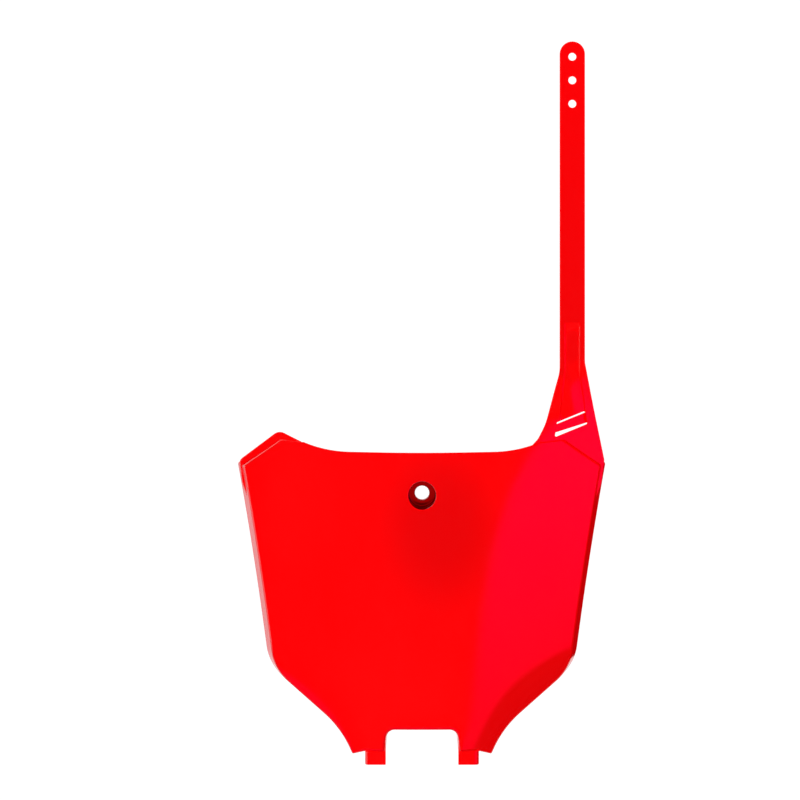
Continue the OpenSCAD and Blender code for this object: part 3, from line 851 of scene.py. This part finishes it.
class Nodes:
    """Adds nodes to a tree; wherever a value is asked for, a number or an output socket will do."""

    def __init__(self, tree):
        self.tree = tree

    def node(self, kind, **settings):
        node = self.tree.nodes.new(kind)
        for key, value in settings.items():
            setattr(node, key, value)
        return node

    def feed(self, value, socket):
        if isinstance(value, bpy.types.NodeSocket):
            self.tree.links.new(value, socket)
        else:
            socket.default_value = value

    def feed_all(self, node, **values):
        """Feeds a node's sockets by their names."""
        for name, value in values.items():
            self.feed(value, node.inputs[name])
        return node

    def maths(self, operation, *values, clamp=False):
        node = self.node("ShaderNodeMath", operation=operation, use_clamp=clamp)
        for value, socket in zip(values, node.inputs):
            self.feed(value, socket)
        return node.outputs[0]

    def times(self, first, *others):
        for other in others:
            first = self.maths("MULTIPLY", first, other)
        return first

    def without(self, value):
        """1 less a value."""
        return self.maths("SUBTRACT", 1.0, value)

    def reach(self, a, b):
        """Distance from 0, 0 to a, b."""
        return self.maths("SQRT", self.maths("ADD", self.times(a, a), self.times(b, b)))

    def step(self, value, low, high):
        """0 below low, 1 above high, and a smooth rise between them."""
        node = self.node("ShaderNodeMapRange", interpolation_type="SMOOTHSTEP")
        for k, v in enumerate((value, low, high)):
            self.feed(v, node.inputs[k])
        return node.outputs[0]

    def mix(self, factor, first, second, blend="MIX"):
        node = self.node("ShaderNodeMix", data_type="RGBA", blend_type=blend)
        for k, v in ((0, factor), (6, first), (7, second)):
            self.feed(v, node.inputs[k])
        return node.outputs[2]

    def place(self, kind):
        """A texture coordinate."""
        return self.node("ShaderNodeTexCoord").outputs[kind]

    def split(self, vector):
        node = self.node("ShaderNodeSeparateXYZ")
        self.feed(vector, node.inputs[0])
        return node.outputs

    def noise(self, place, scale, detail, stretch=(1, 1, 1)):
        spread = self.feed_all(self.node("ShaderNodeMapping"), Vector=place, Scale=stretch)
        node = self.node("ShaderNodeTexNoise")
        return self.feed_all(node, Vector=spread.outputs[0], Scale=scale, Detail=detail).outputs["Fac"]

    def bump(self, height, strength, depth, **normal):
        node = self.node("ShaderNodeBump")
        return self.feed_all(node, Height=height, Strength=strength, Distance=depth, **normal).outputs[0]


def node_group(name, inputs, outputs):
    """A new shader node group with its sockets; inputs have a default, outputs only a kind."""
    tree = bpy.data.node_groups.new(name, "ShaderNodeTree")
    for label, default in inputs:
        socket = tree.interface.new_socket(name=label, in_out="INPUT", socket_type="NodeSocketFloat")
        socket.default_value = default
    for label, kind in outputs:
        tree.interface.new_socket(name=label, in_out="OUTPUT", socket_type="NodeSocket" + kind)
    nodes = Nodes(tree)
    return nodes, nodes.node("NodeGroupInput").outputs, nodes.node("NodeGroupOutput").inputs


def moulded_skin_group():
    """Roughness, bump and a faint tint of a polished injection-moulded surface."""
    nodes, given, out = node_group(
        "moulded_skin", [("Roughness", 0.085), ("Ripple", 0.05), ("Grain", 0.04)],
        [("Roughness", "Float"), ("Tint", "Float"), ("Normal", "Vector")])
    place = nodes.place("Object")
    # the melt's slow flow from top to bottom, finer smears of handling, and the mould's ripple and grain
    flow = nodes.noise(place, 14.0, 3.0, (1, 1, 0.25))
    smear = nodes.noise(place, 160.0, 4.0, (1, 1, 0.4))
    ripple = nodes.noise(place, 55.0, 1.0)
    grain = nodes.noise(place, 2600.0, 2.0)
    slow = nodes.bump(ripple, given["Ripple"], 0.0006)
    nodes.feed(nodes.bump(grain, given["Grain"], 0.00002, Normal=slow), out["Normal"])
    vary = nodes.maths("ADD", nodes.times(flow, 0.05), nodes.times(smear, 0.04))
    vary = nodes.maths("SUBTRACT", vary, 0.045)
    nodes.feed(nodes.maths("ADD", given["Roughness"], vary), out["Roughness"])
    nodes.feed(flow, out["Tint"])
    return nodes.tree


def seat_shade_group():
    """A mask of the bolt seat's inside, which the light hardly reaches, where shade is painted into the colour; 1
    on its wall and floor.
    """
    nodes, _, out = node_group("seat_shade", [], [("Mask", "Float")])
    maths, times = nodes.maths, nodes.times
    x, y, z = nodes.split(nodes.place("Object"))
    c, s = math.cos(SEAT_TILT), math.sin(SEAT_TILT)
    up = maths("SUBTRACT", times(z, c), times(y, s))
    ahead = times(maths("ADD", times(y, c), times(z, s)), -1.0)
    near = nodes.without(nodes.step(nodes.reach(x, up), (SEAT_R + 0.05) * MM, (SEAT_R + 0.30) * MM))
    nodes.feed(times(near, nodes.step(ahead, -0.4 * MM, -0.1 * MM)), out["Mask"])
    return nodes.tree


def plastic_material(finish):
    mat = bpy.data.materials.new(SKIN)
    mat.use_nodes = True
    nodes = Nodes(mat.node_tree)
    skin = nodes.feed_all(
        nodes.node("ShaderNodeGroup", node_tree=moulded_skin_group()),
        Roughness=finish.roughness, Ripple=finish.ripple, Grain=finish.grain).outputs
    shade = nodes.node("ShaderNodeGroup", node_tree=seat_shade_group()).outputs
    # painted shade: deep inside the bolt seat the base colour is darkened to the Seat share
    full, deeper, painted_seat_shade = ((*(c * part for c in finish.colour), 1) for part in (1, 0.96, finish.seat))
    colour = nodes.mix(shade["Mask"], nodes.mix(skin["Tint"], deeper, full), painted_seat_shade)
    bsdf = mat.node_tree.nodes["Principled BSDF"]
    nodes.feed(colour, bsdf.inputs["Base Color"])
    nodes.feed_all(bsdf, Roughness=skin["Roughness"], Normal=skin["Normal"], IOR=1.49)
    return mat


# The studio

# the tall softbox's near edge, as a curve of the height at which it is seen, highest power first
SOFTBOX_EDGE = (2.85, 2.2, 0.78, 0.406)
# the dim gap's middle and half size, across and up, and the wall's brightness in it
GAP_ACROSS, GAP_UP, GAP_DIM = (0.12, 0.36), (0.04, 0.17), 0.05
# the floor's height, its far and near edges and the top of its backdrop, its sides, and the radius of its sweep
FLOOR_Z, FLOOR_BACK, FLOOR_FRONT, BACKDROP_TOP = -0.42, 3.0, 0.15, 1.2
FLOOR_SIDES, SWEEP, SWEEP_STEPS = (-4.0, 0.7), 0.8, 12
# lamps: name, size, place and what each is aimed at; each has its power among the settings
LAMPS = (
    ("key", (1.2, 1.6), (-1.5, -2.0, 0.7), (0, 0, 0)),
    ("low", (1.6, 0.8), (-0.4, -1.9, -0.9), (0, 0, 0)),
    ("high", (0.1, 0.2), (0.30, -0.22, 0.30), (0.0925, 0, 0.19)),
)


def surround_group():
    """What the studio shows to a polished skin, by direction.

    In front there is a red wall with a dim gap, and a tall cool softbox on the right.
    """
    nodes, given, out = node_group(
        "studio_surround", [("Wall", 5.0), ("Softbox", 1.0), ("Panel", 2.5)], [("Colour", "Color")])
    maths, step, times, without = nodes.maths, nodes.step, nodes.times, nodes.without
    x, y, z = nodes.split(nodes.place("Generated"))
    ahead, leftward = times(y, -1.0), times(x, -1.0)
    depth = maths("MAXIMUM", ahead, 0.02)
    across, up = maths("DIVIDE", x, depth), maths("DIVIDE", z, depth)
    front = step(ahead, 0.02, 0.25)

    # the wall, its dim gap near the middle, and its end low on the right
    gap = nodes.reach(*(maths("DIVIDE", maths("SUBTRACT", place, middle), half)
                        for place, (middle, half) in ((across, GAP_ACROSS), (up, GAP_UP))))
    ended = without(times(step(across, 0.50, 0.70), without(step(up, -0.50, -0.30))))
    bright = maths("ADD", GAP_DIM, times(1 - GAP_DIM, step(gap, 0.30, 1.2)))
    wall = times(bright, ended, front, given["Wall"])

    # the softbox, brighter at its top
    edge = SOFTBOX_EDGE[0]
    for factor in SOFTBOX_EDGE[1:]:
        edge = maths("ADD", times(edge, up), factor)
    past = step(maths("SUBTRACT", across, edge), -0.03, 0.04)
    rise = maths("ADD", 0.35, times(0.65, step(up, -0.5, 0.3)))
    box = times(past, rise, ended, front, given["Softbox"])

    # a white panel far out on the left, and a tall one behind
    panel = times(step(leftward, 0.89, 0.96), step(z, -0.35, -0.2))
    behind = times(step(ahead, -0.05, -0.3), step(leftward, 0.10, 0.25), step(z, -0.1, 0.3))
    panel = times(maths("MAXIMUM", panel, behind), given["Panel"])

    red = nodes.mix(1.0, (1, 0, 0, 1), wall, "MULTIPLY")
    cool = nodes.mix(1.0, (0.8, 0.0, 0.6, 1), box, "MULTIPLY")
    nodes.feed(nodes.mix(1.0, nodes.mix(1.0, red, cool, "ADD"), panel, "ADD"), out["Colour"])
    return nodes.tree


def paper_material(studio):
    """White to the camera and in reflections, with the object's shadow; a dull white to all other light."""
    mat = bpy.data.materials.new("paper")
    mat.use_nodes = True
    mat.cycles.emission_sampling = "NONE"
    mat.node_tree.nodes.clear()
    nodes = Nodes(mat.node_tree)
    path = nodes.node("ShaderNodeLightPath").outputs
    seen = nodes.maths("ADD", path["Is Camera Ray"], path["Is Glossy Ray"])
    seen = nodes.maths("ADD", seen, path["Is Transmission Ray"], clamp=True)
    dull = nodes.feed_all(nodes.node("ShaderNodeBsdfDiffuse"), Color=(*[studio.paper] * 3, 1))
    glow = nodes.feed_all(nodes.node("ShaderNodeEmission"), Strength=nodes.times(seen, studio.glow))
    both = nodes.node("ShaderNodeAddShader")
    nodes.feed(dull.outputs[0], both.inputs[0])
    nodes.feed(glow.outputs[0], both.inputs[1])
    nodes.feed_all(nodes.node("ShaderNodeOutputMaterial"), Surface=both.outputs[0])
    return mat


def build_floor(studio):
    """A pale floor well below the board, with a curved sweep up behind it."""
    curve = [(FLOOR_BACK - SWEEP + SWEEP * math.sin(a), FLOOR_Z + SWEEP * (1 - math.cos(a)))
             for a in (math.pi / 2 * k / SWEEP_STEPS for k in range(SWEEP_STEPS + 1))]
    side = [(FLOOR_FRONT, FLOOR_Z), *curve, (FLOOR_BACK, BACKDROP_TOP)]
    mesh = bpy.data.meshes.new("floor")
    verts = [(x, y, z) for y, z in side for x in FLOOR_SIDES]
    mesh.from_pydata(verts, [], [(2 * i, 2 * i + 1, 2 * i + 3, 2 * i + 2) for i in range(len(side) - 1)])
    mesh.polygons.foreach_set("use_smooth", [True] * len(mesh.polygons))
    mesh.materials.append(paper_material(studio))
    floor = bpy.data.objects.new("floor", mesh)
    bpy.context.scene.collection.objects.link(floor)
    floor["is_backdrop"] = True


def build_world(studio):
    """Even light from all round, white to the camera, and the studio's surround in reflections."""
    world = bpy.data.worlds.new("studio")
    bpy.context.scene.world = world
    world.use_nodes = True
    # what differs by the kind of ray is found by the rays themselves
    world.cycles.sampling_method = "NONE"
    nodes = Nodes(world.node_tree)
    path = nodes.node("ShaderNodeLightPath").outputs
    seen = nodes.maths("ADD", path["Is Camera Ray"], path["Is Transmission Ray"], clamp=True)
    surround = nodes.feed_all(
        nodes.node("ShaderNodeGroup", node_tree=surround_group()),
        Wall=studio.wall, Softbox=studio.softbox, Panel=studio.panel)
    light = nodes.mix(path["Is Glossy Ray"], (*[studio.fill] * 3, 1), surround.outputs[0])
    background = world.node_tree.nodes["Background"]
    nodes.feed(nodes.mix(seen, light, (1, 1, 1, 1)), background.inputs["Color"])


def place_lamp(name, size, place, target, power):
    """A soft lamp; what the studio looks like in reflections is left to the surround."""
    light = bpy.data.lights.new(name, "AREA")
    light.shape = "RECTANGLE"
    light.size, light.size_y = size
    light.energy = power
    held = bpy.data.objects.new(name, light)
    held.location = place
    held.rotation_euler = (Vector(target) - Vector(place)).to_track_quat("-Z", "Y").to_euler()
    held.visible_glossy = False
    bpy.context.scene.collection.objects.link(held)


def place_camera(studio):
    cam = bpy.data.cameras.new("camera")
    cam.sensor_width = 36.0
    cam.lens = studio.focal * cam.sensor_width
    cam.clip_end = 50
    eye = bpy.data.objects.new("camera", cam)
    eye.location = (studio.side, -SEAT_DEPTH * MM - studio.distance, studio.height)
    eye.rotation_euler = (math.pi / 2, 0, 0)
    bpy.context.scene.collection.objects.link(eye)
    bpy.context.scene.camera = eye


# Operators and panel

def parts_for(context):
    """The face, the strap's settings and the plastic, which is made once."""
    scene = context.scene
    plastic = bpy.data.materials.get(SKIN) or plastic_material(scene.nb_finish)
    return Face(scene.nb_board, scene.nb_strap), scene.nb_strap, plastic


class NB_OT_stage(bpy.types.Operator):
    """Set the camera, the floor, the backdrop and the lights"""
    bl_idname = "number_board.stage"
    bl_label = "Studio"

    def execute(self, context):
        studio = context.scene.nb_studio
        context.scene.view_settings.view_transform = "Standard"
        place_camera(studio)
        build_floor(studio)
        build_world(studio)
        for name, size, place, target in LAMPS:
            place_lamp(name, size, place, target, getattr(studio, name))
        return {"FINISHED"}


class NB_OT_shell(bpy.types.Operator):
    """Build the bowed face with its rim, walls, hollow back and bolt seat"""
    bl_idname = "number_board.shell"
    bl_label = "Board shell"

    def execute(self, context):
        face, _, plastic = parts_for(context)
        build_shell(face, plastic)
        return {"FINISHED"}


class NB_OT_flange(bpy.types.Operator):
    """Build the lower flange at the corner away from the strap"""
    bl_idname = "number_board.flange"
    bl_label = "Corner flange"

    def execute(self, context):
        face, _, plastic = parts_for(context)
        build_flange(face, plastic)
        return {"FINISHED"}


class NB_OT_strap(bpy.types.Operator):
    """Build the strap with its holes, its root and the buckle's bar"""
    bl_idname = "number_board.strap"
    bl_label = "Strap and buckle"

    def execute(self, context):
        face, strap, plastic = parts_for(context)
        build_strap(face, strap, plastic)
        build_bar(face, strap, plastic)
        return {"FINISHED"}


class NB_OT_foot(bpy.types.Operator):
    """Build the two tongues, and what stands behind the skin"""
    bl_idname = "number_board.foot"
    bl_label = "Tongues and backing"

    def execute(self, context):
        face, _, plastic = parts_for(context)
        for side in (-1, 1):
            build_tongue(face, side, plastic)
        build_backing(face, plastic)
        return {"FINISHED"}


class NB_PT_panel(bpy.types.Panel):
    """Lists the number board's pieces and its studio"""
    bl_label = "Number Board"
    bl_idname = "NB_PT_panel"
    bl_space_type = "VIEW_3D"
    bl_region_type = "UI"
    bl_category = "Number Board"

    def draw(self, context):
        layout = self.layout
        for name, title, _ in GROUPS:
            group = getattr(context.scene, name)
            box = layout.box()
            box.label(text=title)
            for prop in group.__annotations__:
                box.prop(group, prop)
        for op in STEPS:
            layout.operator(op.bl_idname)


GROUPS = (
    ("nb_board", "Board", NB_PG_board), ("nb_strap", "Strap", NB_PG_strap),
    ("nb_finish", "Finish", NB_PG_finish), ("nb_studio", "Studio", NB_PG_studio))
STEPS = (NB_OT_stage, NB_OT_shell, NB_OT_flange, NB_OT_strap, NB_OT_foot)


def register():
    for name, _, group in GROUPS:
        bpy.utils.register_class(group)
        setattr(bpy.types.Scene, name, bpy.props.PointerProperty(type=group))
    for op in STEPS:
        bpy.utils.register_class(op)
    bpy.utils.register_class(NB_PT_panel)


def unregister():
    bpy.utils.unregister_class(NB_PT_panel)
    for op in reversed(STEPS):
        bpy.utils.unregister_class(op)
    for name, _, group in reversed(GROUPS):
        delattr(bpy.types.Scene, name)
        bpy.utils.unregister_class(group)


def plain(box):
    return [[float(v) for v in corner] for corner in box]


def main():
    cad = plain(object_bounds())
    register()
    for op in STEPS:
        space, name = op.bl_idname.split(".")
        if getattr(getattr(bpy.ops, space), name)() != {"FINISHED"}:
            raise RuntimeError(op.bl_label + " did not finish")
    {"cad": cad, "visual": plain(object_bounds())}


if __name__ == "__main__":
    main()
